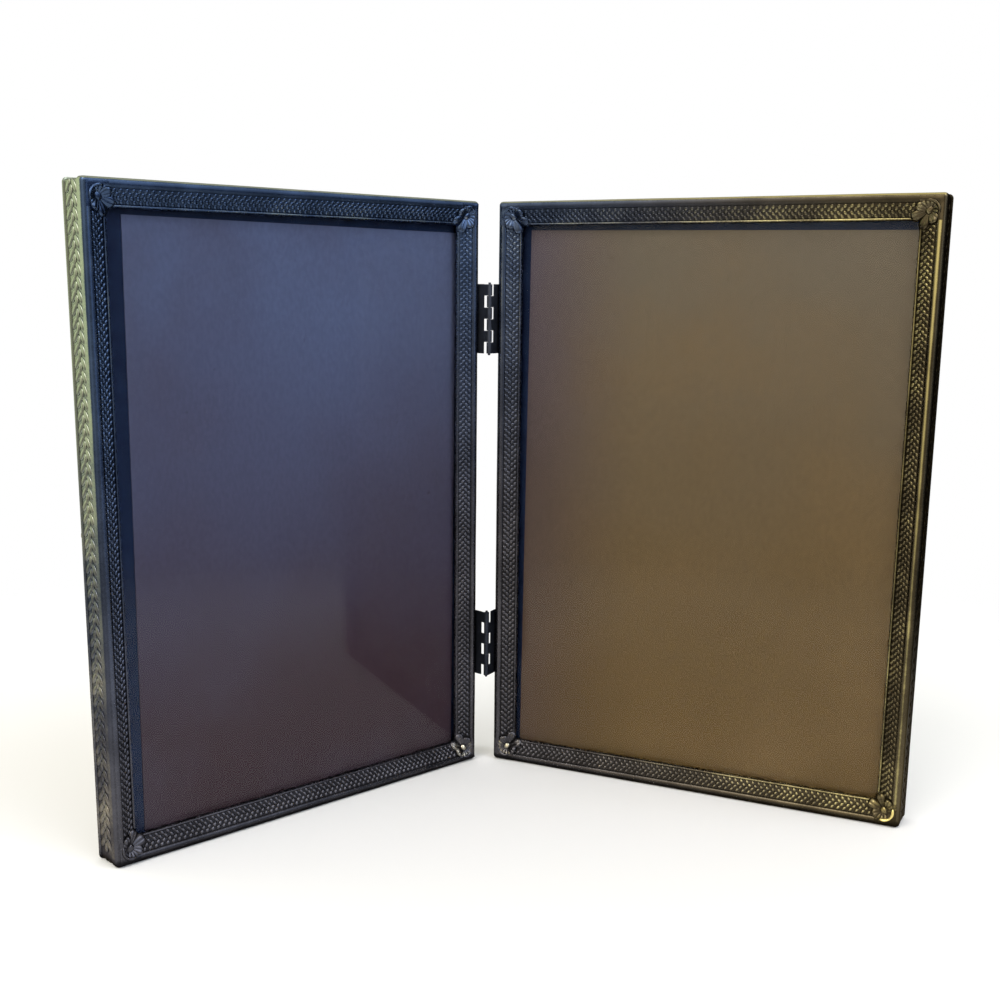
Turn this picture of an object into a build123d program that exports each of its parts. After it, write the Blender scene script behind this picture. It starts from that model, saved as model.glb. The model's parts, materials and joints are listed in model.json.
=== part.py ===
from build123d import *

import os
from math import cos, radians, sin

os.makedirs("parts", exist_ok=True)

# Driving dimensions of the pair, in millimetres and degrees
panel_width = 140.0
panel_height = 190.0
panel_depth = 11.0
opening_angle = 110.0

# Moulding section, from the outer wall inwards
rim_radius = 1.0
rim_width = 1.7
bead_width = 0.5
band_sink = 0.4
band_width = 4.7
band_fall = 2.2
sight_margin = 0.2
lip_thickness = 0.9
rabbet_inset = 5.6
strip_metal = 0.8

# Contents of a panel, from the front to the back
pane_play = 0.4
pane_thickness = 2.0
slip_air = 0.1
slip_spare_width = {"left": 7.6, "right": 4.0}
slip_spare_height = 3.7
slip_thickness = 0.3
slip_lean = 0.5
slip_slide = {"left": 1.0, "right": 0.84}
filler_thickness = 1.6
back_recess = 0.15
back_edge_radius = 0.5

# Palmettes over the corners: flutes fan towards the corner, blades towards the glass
cap_centre = 4.9
cap_thickness = 0.45
cap_gap = 0.05
cap_heart_radius = 2.6
flute_reaches = {-84.0: 3.4, -56.0: 3.4, -28.0: 3.4, 0.0: 3.4, 28.0: 3.4, 56.0: 3.4, 84.0: 3.4}
flute_half_width = 0.72
blade_reaches = {-80.0: 3.5, -41.0: 4.7, 0.0: 4.9, 41.0: 4.7, 80.0: 3.5}
blade_half_width = 0.95

# Butt hinges on the facing side walls
hinge_length = 22.4
hinge_heights = {"lower": 42.6, "upper": 152.6}
knuckle_count = 6
knuckle_play = 0.12
leaf_thickness = 0.4
leaf_inset = 2.0
leaf_notch = 1.9
pin_radius = 0.42
pin_clearance = 0.06
pin_tip = 0.5
axis_lead = 3.7

# Turn buttons on the back of the stiles
button_length = 15.0
button_tail_radius = 2.4
button_tip_radius = 1.7
button_thickness = 0.6
button_gap = 0.12
ridge_width = 0.8
ridge_height = 0.7
button_rivet_radius = 0.8
button_rivet_clearance = 0.06
button_rivet_fit = 0.03
button_rivet_head_radius = 1.6
button_rivet_head_height = 0.5

# Places worked out along the moulding section
band_start = rim_width + bead_width
band_end = band_start + band_width
sight_inset = band_end + bead_width + sight_margin
band_end_depth = band_sink + band_fall
lip_back = band_end_depth + lip_thickness
button_pivot = rabbet_inset / 2

# Sizes worked out for the contents
pane_width = panel_width - 2 * (rabbet_inset + pane_play)
pane_height = panel_height - 2 * (rabbet_inset + pane_play)
slip_height = pane_height - slip_spare_height
slip_front = lip_back + pane_thickness + slip_air
filler_front = slip_front + slip_thickness
back_front = filler_front + filler_thickness
back_thickness = panel_depth - back_recess - back_front

# Sizes worked out for the hinges
bore_radius = pin_radius + pin_clearance
knuckle_radius = bore_radius + leaf_thickness
wall_offset = knuckle_radius
leaf_end = axis_lead + panel_depth - leaf_inset
knuckle_pitch = hinge_length / knuckle_count

# The fold line stands where the open pair's footprint is centred on the origin
splay = radians((180 - opening_angle) / 2)
front_reach = (
    (axis_lead + rim_radius) * cos(splay)
    - (wall_offset + panel_width - rim_radius) * sin(splay)
    - rim_radius
)
rear_reach = (axis_lead + panel_depth + button_gap + button_thickness) * cos(splay) - (
    wall_offset + button_pivot - button_tail_radius
) * sin(splay)
fold_y = -(front_reach + rear_reach) / 2
fold_line = Vector(0, fold_y, 0)

sides = {"left": -1, "right": 1}
button_stiles = {"hinge_stile": "hinge", "outer_stile": "outer"}
up = Vector(0, 0, 1)


def save(piece, node):
    piece.part.label = node
    export_step(piece.part, f"parts/{node}.step")


def outward(side):
    """Direction from the fold line along a panel."""
    return Vector(side * cos(splay), -sin(splay), 0)


def facing(side):
    """Direction that a panel's glass faces."""
    return Vector(-side * sin(splay), -cos(splay), 0)


def panel_plane(side):
    """Front plane of a panel: x to the viewer's right, y up, origin at the foot of the hinge wall."""
    foot = fold_line + outward(side) * wall_offset - facing(side) * axis_lead
    return Plane(origin=foot, x_dir=outward(side) * side, z_dir=facing(side))


def spot(panel, x, y, depth=0.0):
    """Point of a panel given by its place on the front plane and its depth behind it."""
    return panel.from_local_coords(Vector(x, y, -depth))


def rail_runs(side):
    """Start corner, inward direction and length of each rail, anticlockwise as the viewer sees it."""
    left_edge = min(0.0, side * panel_width)
    right_edge = left_edge + panel_width
    names = ("outer_stile", "hinge_stile")
    left_name, right_name = names if side < 0 else reversed(names)
    return {
        "bottom_rail": ((left_edge, 0.0), (0, 1), panel_width),
        right_name: ((right_edge, 0.0), (-1, 0), panel_height),
        "top_rail": ((right_edge, panel_height), (0, -1), panel_width),
        left_name: ((left_edge, panel_height), (1, 0), panel_height),
    }


def section_plane(panel, start, inward):
    """Plane across a rail at its start: x inwards, y towards the viewer, z along the rail."""
    across = panel.x_dir * inward[0] + panel.y_dir * inward[1]
    return Plane(origin=spot(panel, *start), x_dir=across, z_dir=across.cross(panel.z_dir))


def bead(start, depth):
    """Half-round bead that rises from a depth, beginning at an inset."""
    crest = (start + bead_width / 2, bead_width / 2 - depth)
    return ThreePointArc((start, -depth), crest, (start + bead_width, -depth))


def make_rail(panel, start, inward, length, seats):
    """One mitred length of the folded moulding, hollow inside, with its rivet hole if it has one."""
    across = section_plane(panel, start, inward)
    hollow_end = rabbet_inset - strip_metal
    hollow_top = band_sink + band_fall * (hollow_end - band_start) / band_width + strip_metal
    with BuildPart() as rail:
        with BuildSketch(across):
            with BuildLine():
                CenterArc((rim_radius, -rim_radius), rim_radius, 90, 90)
                Polyline((rim_radius, 0), (rim_width, 0), (rim_width, -band_sink))
                bead(rim_width, band_sink)
                Line((band_start, -band_sink), (band_end, -band_end_depth))
                bead(band_end, band_end_depth)
                Polyline(
                    (band_end + bead_width, -band_end_depth),
                    (sight_inset, -band_end_depth - sight_margin),
                    (sight_inset, -lip_back),
                    (rabbet_inset, -lip_back),
                    (rabbet_inset, -panel_depth),
                    (0, -panel_depth),
                    (0, -rim_radius),
                )
            make_face()
            with BuildLine():
                Polyline(
                    (strip_metal, strip_metal - panel_depth),
                    (strip_metal, -rim_radius - strip_metal),
                    (band_start, -band_sink - strip_metal),
                    (hollow_end, -hollow_top),
                    (hollow_end, strip_metal - panel_depth),
                    close=True,
                )
            make_face(mode=Mode.SUBTRACT)
        extrude(amount=length)
        split(bisect_by=Plane(across.origin, z_dir=across.z_dir - across.x_dir), keep=Keep.TOP)
        far_end = across.origin + across.z_dir * length
        split(bisect_by=Plane(far_end, z_dir=across.z_dir + across.x_dir), keep=Keep.BOTTOM)
        for seat in seats:
            with Locations(seat):
                Hole(button_rivet_radius + button_rivet_fit, depth=2 * strip_metal)
    return rail


def button_seat(panel, start, inward, length):
    """Plane on the back of a rail where its turn button pivots: x points at the middle of the panel."""
    across = section_plane(panel, start, inward)
    middle = across.origin + across.z_dir * (length / 2) + across.x_dir * button_pivot
    return Plane(middle - panel.z_dir * panel_depth, x_dir=across.x_dir, z_dir=-panel.z_dir)


def add_fan(middle, reaches, half_width):
    """Adds pointed lobes to a sketch, each at its angle from the middle one."""
    for turn, reach in reaches.items():
        with Locations(Location((0, 0, 0), (0, 0, middle + turn))):
            with Locations((reach / 2, 0)):
                Ellipse(reach / 2, half_width)


def make_cap(panel, corner, legs):
    """Palmette that lies on the rim's edge and over the beads of a corner."""
    leg_x, leg_y = legs
    arm = cap_centre + max(blade_reaches.values())
    arm_end = (corner[0] + leg_x * arm, corner[1])
    other_end = (corner[0], corner[1] + leg_y * arm)
    crest = band_end + bead_width / 2
    crest_depth = band_end_depth - bead_width / 2 - cap_gap
    slope = (crest_depth + cap_gap) / (crest - rim_width)
    tip_depth = crest_depth + slope * (sight_inset - crest)
    with BuildPart() as cap:
        with BuildLine() as path:
            Polyline(spot(panel, *arm_end), spot(panel, *corner), spot(panel, *other_end))
        with BuildSketch(section_plane(panel, arm_end, (0, leg_y))):
            with BuildLine():
                Polyline(
                    (rim_radius, cap_gap),
                    (rim_width, cap_gap),
                    (sight_inset, -tip_depth),
                    (sight_inset, cap_thickness - tip_depth),
                    (rim_width, cap_gap + cap_thickness),
                    (rim_radius, cap_gap + cap_thickness),
                    close=True,
                )
            make_face()
        sweep(path=path.line, transition=Transition.RIGHT)
        turned = leg_x * leg_y
        behind = Plane(spot(panel, *corner, panel_depth), x_dir=panel.x_dir * leg_x, z_dir=panel.z_dir)
        with BuildSketch(behind):
            with Locations((cap_centre, cap_centre * turned)):
                Circle(cap_heart_radius)
                add_fan(45 * turned, blade_reaches, blade_half_width)
                add_fan(45 * turned + 180, flute_reaches, flute_half_width)
        extrude(amount=2 * panel_depth, mode=Mode.INTERSECT)
    return cap


def make_sheet(panel, depth, width, height, thickness, centre, lean=0.0):
    """Flat sheet of the contents that stands in the rabbet."""
    with BuildPart() as sheet:
        with BuildSketch(panel.offset(-depth)):
            with Locations(Location((*centre, 0), (0, 0, -lean))):
                Rectangle(width, height)
        extrude(amount=-thickness)
    return sheet


def make_back(panel, centre):
    """Cloth-covered board that closes the back, its rear edges rounded."""
    with BuildPart() as back:
        with BuildSketch(panel.offset(-back_front)):
            with Locations(centre):
                Rectangle(pane_width, pane_height)
        extrude(amount=-back_thickness)
        rear = back.faces().sort_by(Axis(panel.origin, -panel.z_dir))[-1]
        fillet(rear.edges(), back_edge_radius)
    return back


def make_leaf(side, height, first_knuckle):
    """Hinge leaf: a plate on the side wall with every other knuckle rolled round the pin."""
    foot = fold_line + up * (height - hinge_length / 2)
    base = Plane(foot, x_dir=outward(side), z_dir=up)
    leaf_middle = knuckle_radius - leaf_thickness / 2
    with BuildPart() as leaf:
        with BuildSketch(base):
            with Locations((leaf_middle, side * (leaf_notch + leaf_end) / 2)):
                Rectangle(leaf_thickness, leaf_end - leaf_notch)
        extrude(amount=hinge_length)
        for index in range(first_knuckle, knuckle_count, 2):
            with BuildSketch(base.offset(index * knuckle_pitch + knuckle_play / 2)):
                Circle(knuckle_radius)
                with Locations((leaf_middle, side * leaf_notch / 2)):
                    Rectangle(leaf_thickness, leaf_notch)
                Circle(bore_radius, mode=Mode.SUBTRACT)
            extrude(amount=knuckle_pitch - knuckle_play)
    return leaf


def make_pin(height):
    """Plain hinge pin whose tips show beyond the barrel."""
    with BuildPart() as pin:
        with Locations(fold_line + up * height):
            Cylinder(pin_radius, hinge_length + 2 * pin_tip)
    return pin


def make_rivets(seats):
    """Pivot rivets of the turn buttons: a coned head over a shank set flush in the wall."""
    foot = (Align.CENTER, Align.CENTER, Align.MIN)
    head_base = 2 * button_gap + button_thickness
    with BuildPart() as rivets:
        for seat in seats:
            with Locations(seat.offset(-strip_metal)):
                Cylinder(button_rivet_radius, strip_metal + head_base, align=foot)
            with Locations(seat.offset(head_base)):
                Cone(button_rivet_head_radius, button_rivet_radius, button_rivet_head_height, align=foot)
    return rivets


def make_button(seat):
    """Turn button: a pear-shaped plate on its rivet, with a ridge for the finger near the tip."""
    tip = button_length - button_tail_radius - button_tip_radius
    with BuildPart() as button:
        with BuildSketch(seat.offset(button_gap)):
            Circle(button_tail_radius)
            with Locations((tip, 0)):
                Circle(button_tip_radius)
            make_hull()
            Circle(button_rivet_radius + button_rivet_clearance, mode=Mode.SUBTRACT)
        extrude(amount=button_thickness)
        with BuildSketch(seat.offset(button_gap + button_thickness)):
            with Locations((tip, 0)):
                Rectangle(ridge_width, 2 * (button_tip_radius - ridge_width))
        extrude(amount=ridge_height)
    return button


def make_panel(name, side):
    """All the pieces of one panel."""
    panel = panel_plane(side)
    runs = rail_runs(side)
    button_seats = []
    for node, run in runs.items():
        seats = [button_seat(panel, *run)] if node in button_stiles else []
        for seat in seats:
            save(make_button(seat), f"{name}_{button_stiles[node]}_turn_button")
        save(make_rail(panel, *run, seats), f"{name}_{node}")
        button_seats += seats
    save(make_rivets(button_seats), f"{name}_button_rivets")

    for level, y, leg_y in (("bottom", 0.0, 1), ("top", panel_height, -1)):
        for edge, x, leg_x in (("hinge", 0.0, side), ("outer", side * panel_width, -side)):
            save(make_cap(panel, (x, y), (leg_x, leg_y)), f"{name}_{level}_{edge}_corner")

    centre = (side * panel_width / 2, rabbet_inset + pane_height / 2)
    lean = radians(slip_lean)
    slip_width = pane_width - slip_spare_width[name]
    slip_stand = slip_height * cos(lean) + slip_width * sin(lean)
    slip_play = pane_width - slip_width * cos(lean) - slip_height * sin(lean)
    slip_centre = (centre[0] + slip_slide[name] * slip_play / 2, rabbet_inset + slip_stand / 2)
    save(make_sheet(panel, lip_back, pane_width, pane_height, pane_thickness, centre), f"{name}_glass")
    slip = make_sheet(panel, slip_front, slip_width, slip_height, slip_thickness, slip_centre, slip_lean)
    save(slip, f"{name}_paper_slip")
    filler = make_sheet(panel, filler_front, pane_width, pane_height, filler_thickness, centre)
    save(filler, f"{name}_filler_board")
    save(make_back(panel, centre), f"{name}_back_panel")

    first_knuckle = 1 if side < 0 else 0
    for level, height in hinge_heights.items():
        save(make_leaf(side, height, first_knuckle), f"{name}_{level}_leaf")


for name, side in sides.items():
    make_panel(name, side)
for level, height in hinge_heights.items():
    save(make_pin(height), f"{level}_hinge_pin")
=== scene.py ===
import json
from dataclasses import dataclass
from math import cos, pi, radians, sin, sqrt

import bmesh
import bpy
from mathutils import Matrix, Vector


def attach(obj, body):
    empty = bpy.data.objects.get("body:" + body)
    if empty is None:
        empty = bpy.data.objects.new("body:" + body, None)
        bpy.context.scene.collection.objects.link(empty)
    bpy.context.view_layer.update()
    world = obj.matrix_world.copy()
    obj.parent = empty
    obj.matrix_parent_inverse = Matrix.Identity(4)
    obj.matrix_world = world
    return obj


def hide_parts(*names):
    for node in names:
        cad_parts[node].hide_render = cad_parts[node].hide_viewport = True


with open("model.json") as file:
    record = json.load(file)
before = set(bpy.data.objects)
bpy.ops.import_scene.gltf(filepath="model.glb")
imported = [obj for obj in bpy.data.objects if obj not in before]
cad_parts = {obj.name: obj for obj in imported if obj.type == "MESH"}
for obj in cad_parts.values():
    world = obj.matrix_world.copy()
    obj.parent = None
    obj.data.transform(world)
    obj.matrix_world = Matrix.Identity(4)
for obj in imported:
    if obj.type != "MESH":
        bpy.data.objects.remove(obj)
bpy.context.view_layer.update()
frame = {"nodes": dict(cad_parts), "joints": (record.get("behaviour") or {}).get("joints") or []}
nodes = frame["nodes"]
mm = 0.001

# Sizes of the frame, in metres, as the CAD model has them
panel_width = 140 * mm
panel_height = 190 * mm
panel_depth = 11 * mm
splay = radians(35)
axis_lead = 3.7 * mm
wall_offset = 0.88 * mm
sides = {"left": -1, "right": 1}

# Moulding section: inset from the outer wall and depth behind the front plane
roll_crest = 1.5 * mm
roll_drop = 1.6 * mm
roll_steps = 8
slope_start = 2.2 * mm
slope_end = 6.9 * mm
slope_start_depth = 0.4 * mm
slope_end_depth = 2.6 * mm
band_start = 2.75 * mm
band_end = 6.8 * mm
band_margin = 0.1 * mm
ground_sink = 0.16 * mm
bead_width = 0.65 * mm
bead_rise = 0.3 * mm
bead_steps = 6
sight_inset = 7.6 * mm
sight_depth = 2.8 * mm
lip_back = 3.5 * mm
rabbet_inset = 5.6 * mm
wall_corner_radius = 1.3 * mm
channel_front = 3.0 * mm
channel_back = 10.3 * mm
channel_sink = 0.42 * mm
channel_bevel = 0.25 * mm
back_edge_round = 0.3 * mm

# Lengths of moulding: a wave turns by a radian over its reach, and by the skew for each metre of depth
mitre_zone = 9.0 * mm
mitre_stations = 5
station_pitch = 4.0 * mm
wave_height = 0.018 * mm
short_wave_reach = 7 * mm
long_wave_reach = 23 * mm
wave_skew = 900

# How far the moulding is rubbed, from 0 for tarnish to 1 and more for gold
back_edge_wear = 0.3
back_round_wear = 0.6
wall_wear = 1.0
channel_edge_wear = 1.1
roll_wear = 0.1
roll_edge_wear = 0.95
crest_wear = 0.6
crest_sharpness = 30
slope_sharpness = 12
# On a top rail: a painted highlight of gold above the rim, and painted shade on the front of the roll and
# its crest
top_edge_highlight_wear = 1.1
top_highlight_end = radians(62)
top_highlight_blend = radians(20)
top_crest_shade_wear = 0.075
ground_wear = 0.04
bead_foot_wear = 0.15
bead_crest_wear = 0.6
sight_wear = 0.5
rabbet_wear = 0.2

# Crests with a painted highlight, a brighter gold line: wear at the foot and at the head
highlit_crests = {"right_outer_stile": (0.645, 1.2)}

# Plait on the sloping band, with its wear at the foot and the top of a bead
plait_pitch = 1.9 * mm
plait_length = 1.85 * mm
plait_width = 1.2 * mm
plait_relief = 0.38 * mm
plait_lean = radians(45)
plait_row_spacing = 0.95 * mm
plait_end_gap = 4.6 * mm
plait_wear = (0.04, 0.52)

# Laurel on the outer walls: sprigs of a tongue between leaves that spread along the run
laurel_pitch = 3.45 * mm
laurel_width = 6.4 * mm
laurel_relief = 0.41 * mm
laurel_spread = radians(36)
laurel_end_gap = 2.4 * mm
laurel_wear = (0.9, 1.25)

# Half sizes and places of a sprig's forms, as shares of its width or of the pitch
sprig_leaf_length = 0.34
sprig_leaf_width = 0.16
sprig_leaf_offset = 0.27
sprig_tongue_length = 0.5
sprig_tongue_width = 0.14
sprig_tongue_lead = 0.35

# Palmettes over the corners: a plate, a boss, flutes towards the corner and blades towards the opening
palmette_centre = 4.9 * mm
corner_angle = 225
opening_angle = 45
plate_start = 1.0 * mm
plate_lift = 0.2 * mm
plate_cells = 16
boss_radius = 1.0 * mm
boss_width = 1.1 * mm
boss_height = 0.75 * mm
boss_bluntness = 0.4
flute_angles = (-84, -56, -28, 0, 28, 56, 84)
flute_reach = 3.3 * mm
flute_width = 0.8 * mm
flute_height = 0.45 * mm
flute_bluntness = 0.5
crescent_radius = 2.75 * mm
crescent_spread = 74
crescent_width = 0.6 * mm
crescent_height = 0.75 * mm
crescent_steps = 24
blade_reach = {-64: 4.0 * mm, -23: 5.7 * mm, 23: 5.7 * mm, 64: 4.0 * mm}
blade_width = 1.3 * mm
blade_height = 0.75 * mm
blade_bluntness = 0.9
blade_vein = 0.2 * mm

# Lobes of a palmette: steps along and to each side, swell at the root and share of the width in the vein
lobe_steps = 14
lobe_half_steps = 6
lobe_root = 0.72
vein_share = 0.3

# Slope that a palmette lies on, with a crease over the mitre
leaf_margin = 0.12 * mm
leaf_sink = 0.12 * mm
leaf_round = 1.0 * mm
leaf_flat = 1.7 * mm
leaf_fall = 2.55 * mm
crease_width = 1.5 * mm
crease_height = 0.12 * mm

# How far the forms of a palmette are rubbed, where raised tops also paint highlights: evenly, or most on the
# flutes or on the crescent
even_rub = {"plate": 0.2, "flutes": 0.85, "crescent": 0.55, "blades": 0.75, "boss": 1.0}
flute_rub = {"plate": 0.2, "flutes": 0.85, "crescent": 0.4, "blades": 0.35, "boss": 1.2}
crescent_rub = {"plate": 0.05, "flutes": 0.12, "crescent": 1.1, "blades": 0.12, "boss": 0.35}
# Corners in the brighter gilt, which paints their glints and highlights
highlit_corners = {
    "left_bottom_hinge_corner": flute_rub,
    "right_bottom_hinge_corner": flute_rub,
    "right_bottom_outer_corner": crescent_rub,
}

# Velvet-covered back board, with a sag that turns by a radian over each reach
back_front = 7.5 * mm
back_recess = 0.15 * mm
back_play = 0.4 * mm
back_edge_radius = 0.5 * mm
back_edge_steps = 4
back_cells_across = 30
back_cells_along = 40
sag_depth = 0.05 * mm
sag_reach_across = 9 * mm
sag_reach_along = 13 * mm
sag_margin = 6 * mm

# Rivets of the hinge leaves
rivet_spacing = 14 * mm
rivet_radius = 1.2 * mm
rivet_relief = 0.28 * mm
rivet_depth = 4.5 * mm
rivet_wear = (0.0, 0.8)
hinge_leaf_thickness = 0.4 * mm
hinge_heights = (42.6 * mm, 152.6 * mm)

# Where the metal's tone drifts with painted reflections, where more gold shows higher up and painted light
# puts more on the right panel, and where painted shade darkens the foot and the right edge
cool_reflection_slant = {"X": 0.4, "below top": 0.8}
cool_reflection_fade = (-16 * mm, 104 * mm)
warm_reflection_drift = (-20 * mm, 120 * mm)
gold_heights = (0.2 * panel_height, panel_height)
lit_panel_sides = (-30 * mm, 60 * mm)
shaded_foot = (0.8 * mm, 3.2 * mm)
shaded_edge = (117 * mm, 118.5 * mm)
shaded_share = 0.05


# Panels and the runs of moulding round them


@dataclass
class Panel:
    """A panel's front plane: right and up as the viewer sees them, from the foot of the hinge wall."""

    name: str
    side: int

    def __post_init__(self):
        fold = next(joint for joint in frame["joints"] if joint["name"] == "fold")
        self.outward = Vector((self.side * cos(splay), -sin(splay), 0))
        self.facing = Vector((-self.side * sin(splay), -cos(splay), 0))
        self.right = self.outward * self.side
        self.up = Vector((0, 0, 1))
        self.origin = Vector(fold["pos_m"]) + self.outward * wall_offset - self.facing * axis_lead
        self.body = f"{self.name}_panel"

    def point(self, x, y, depth):
        return self.origin + self.right * x + self.up * y - self.facing * depth

    def runs(self):
        """The four lengths of moulding, anticlockwise as the viewer sees them."""
        left = min(0, self.side * panel_width)
        right = left + panel_width
        stiles = ["outer_stile", "hinge_stile"]
        if self.side > 0:
            stiles.reverse()
        return [
            Run(self, "bottom_rail", (left, 0), (1, 0), panel_width),
            Run(self, stiles[1], (right, 0), (0, 1), panel_height),
            Run(self, "top_rail", (right, panel_height), (-1, 0), panel_width),
            Run(self, stiles[0], (left, panel_height), (0, -1), panel_height),
        ]

    def corners(self):
        """Name, place and leg directions of each corner."""
        edges = (("hinge", 0, self.side), ("outer", self.side * panel_width, -self.side))
        for level, y, leg_y in (("bottom", 0, 1), ("top", panel_height, -1)):
            for edge, x, leg_x in edges:
                yield f"{level}_{edge}_corner", (x, y), (leg_x, leg_y)


@dataclass
class Run:
    """One length of moulding, placed by distance along it, inset from its outer wall and depth."""

    panel: Panel
    node: str
    start: tuple
    along: tuple
    length: float

    def point(self, distance, inset, depth):
        inward = (-self.along[1], self.along[0])
        x = self.start[0] + self.along[0] * distance + inward[0] * inset
        y = self.start[1] + self.along[1] * distance + inward[1] * inset
        return self.panel.point(x, y, depth)

    def inward(self):
        """World direction from the outer wall to the opening."""
        return (self.point(0, 1, 0) - self.point(0, 0, 0)).normalized()


def slope_depth(inset):
    """Depth of the sloping face of the moulding at an inset."""
    share = (inset - slope_start) / (slope_end - slope_start)
    return slope_start_depth + (slope_end_depth - slope_start_depth) * share


# Helpers for meshes


def set_wear(mesh, values):
    """Stores how far each point is rubbed, for the metal finishes."""
    attribute = mesh.attributes.get("wear") or mesh.attributes.new("wear", "FLOAT", "POINT")
    attribute.data.foreach_set("value", values)


def add_piece(name, mesh, material, body, slot, smooth_angle=35):
    """Makes a finished mesh a piece of the frame that rides on a body."""
    mesh.materials.clear()
    mesh.materials.append(material)
    mesh.shade_smooth()
    mesh.set_sharp_from_angle(angle=radians(smooth_angle))
    piece = bpy.data.objects.new(name, mesh)
    bpy.context.scene.collection.objects.link(piece)
    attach(piece, body)
    return piece


def closed_mesh(name, points, faces, wear=None):
    """Mesh from points and faces, with its faces turned outwards."""
    mesh = bpy.data.meshes.new(name)
    mesh.from_pydata(points, [], faces)
    if wear is not None:
        set_wear(mesh, wear)
    shape = bmesh.new()
    shape.from_mesh(mesh)
    bmesh.ops.recalc_face_normals(shape, faces=shape.faces)
    shape.to_mesh(mesh)
    shape.free()
    return mesh


def grid_faces(first, rows, span, closed=False):
    """Faces over rows of points that follow one another, and from the last row to the first if closed."""
    for row in range(rows if closed else rows - 1):
        here = first + row * span
        there = first + (row + 1) % rows * span
        for step in range(span - 1):
            yield here + step, here + step + 1, there + step + 1, there + step


def grid_rim(rows, span):
    """Numbers of the points round the edge of a grid, in order."""
    last_row = (rows - 1) * span
    rim = list(range(span - 1))
    rim += [row * span + span - 1 for row in range(rows - 1)]
    rim += [last_row + step for step in range(span - 1, 0, -1)]
    rim += [row * span for row in range(rows - 1, 0, -1)]
    return rim


# Helpers for node trees


def add_node(tree, kind, inputs=None, **settings):
    """Adds a node, sets its options, and links or sets its inputs."""
    made = tree.nodes.new(kind)
    for key, value in settings.items():
        setattr(made, key, value)
    for key, value in (inputs or {}).items():
        if isinstance(value, bpy.types.NodeSocket):
            tree.links.new(value, made.inputs[key])
        else:
            made.inputs[key].default_value = value
    return made


def calculate(tree, operation, first, second=0.0):
    return add_node(tree, "ShaderNodeMath", {0: first, 1: second}, operation=operation).outputs[0]


def weighted(tree, *terms):
    """Sum of values, each times its weight."""
    total = 0.0
    for value, weight in terms:
        inputs = {0: value, 1: weight, 2: total}
        total = add_node(tree, "ShaderNodeMath", inputs, operation="MULTIPLY_ADD").outputs[0]
    return total


def split(tree, vector):
    """Sockets of a vector's X, Y and Z."""
    return add_node(tree, "ShaderNodeSeparateXYZ", {"Vector": vector}).outputs


def noise(tree, coords, scale, detail, stretch=None):
    """Noise with features of about one over the scale, in metres."""
    if stretch:
        mapping = add_node(tree, "ShaderNodeMapping", {"Vector": coords, "Scale": stretch})
        coords = mapping.outputs[0]
    inputs = {"Vector": coords, "Scale": scale, "Detail": detail, "Roughness": 0.55}
    return add_node(tree, "ShaderNodeTexNoise", inputs).outputs["Fac"]


def spread(tree, value, low, high, to_low=0.0, to_high=1.0):
    """Takes a value from one range to another, smoothly and within bounds."""
    return add_node(
        tree,
        "ShaderNodeMapRange",
        {"Value": value, "From Min": low, "From Max": high, "To Min": to_low, "To Max": to_high},
        interpolation_type="SMOOTHSTEP",
    ).outputs["Result"]


def blend_colours(tree, factor, first, second):
    made = add_node(tree, "ShaderNodeMix", {0: factor}, data_type="RGBA")
    for socket, value in ((made.inputs[6], first), (made.inputs[7], second)):
        if isinstance(value, bpy.types.NodeSocket):
            tree.links.new(value, socket)
        else:
            socket.default_value = (*value, 1)
    return made.outputs[2]


def darken(tree, colour, share):
    """A colour times a share of it."""
    return add_node(
        tree, "ShaderNodeVectorMath", {0: colour, "Scale": share}, operation="SCALE"
    ).outputs["Vector"]


def tint(tree, colour, tone):
    """A colour times another."""
    return add_node(
        tree, "ShaderNodeVectorMath", {0: colour, 1: tone}, operation="MULTIPLY"
    ).outputs["Vector"]


def roughen(tree, shader, height, strength, distance):
    """Bump on the shader from a height."""
    inputs = {"Height": height, "Strength": strength, "Distance": distance}
    bump = add_node(tree, "ShaderNodeBump", inputs)
    tree.links.new(bump.outputs["Normal"], shader.inputs["Normal"])


# Procedural finishes


def new_finish(name):
    """A material with its shader and the piece's own coordinates."""
    material = bpy.data.materials.new(name)
    material.use_nodes = True
    tree = material.node_tree
    shader = tree.nodes["Principled BSDF"]
    coords = add_node(tree, "ShaderNodeTexCoord").outputs["Object"]
    return material, tree, shader, coords


def cool_reflection_share(tree, axes):
    """Share of painted cool reflection: how near a place is to the pair's top left corner, on faces that
    don't look backwards.
    """
    below_top = calculate(tree, "SUBTRACT", panel_height, axes["Z"])
    from_corner = weighted(tree, (axes["X"], cool_reflection_slant["X"]), (below_top, cool_reflection_slant["below top"]))
    normal = add_node(tree, "ShaderNodeTexCoord").outputs["Normal"]
    front = spread(tree, split(tree, normal)["Y"], 0.3, 0.7, 1.0, 0.0)
    return calculate(tree, "MULTIPLY", front, spread(tree, from_corner, *cool_reflection_fade, 1.0, 0.0))


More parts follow.
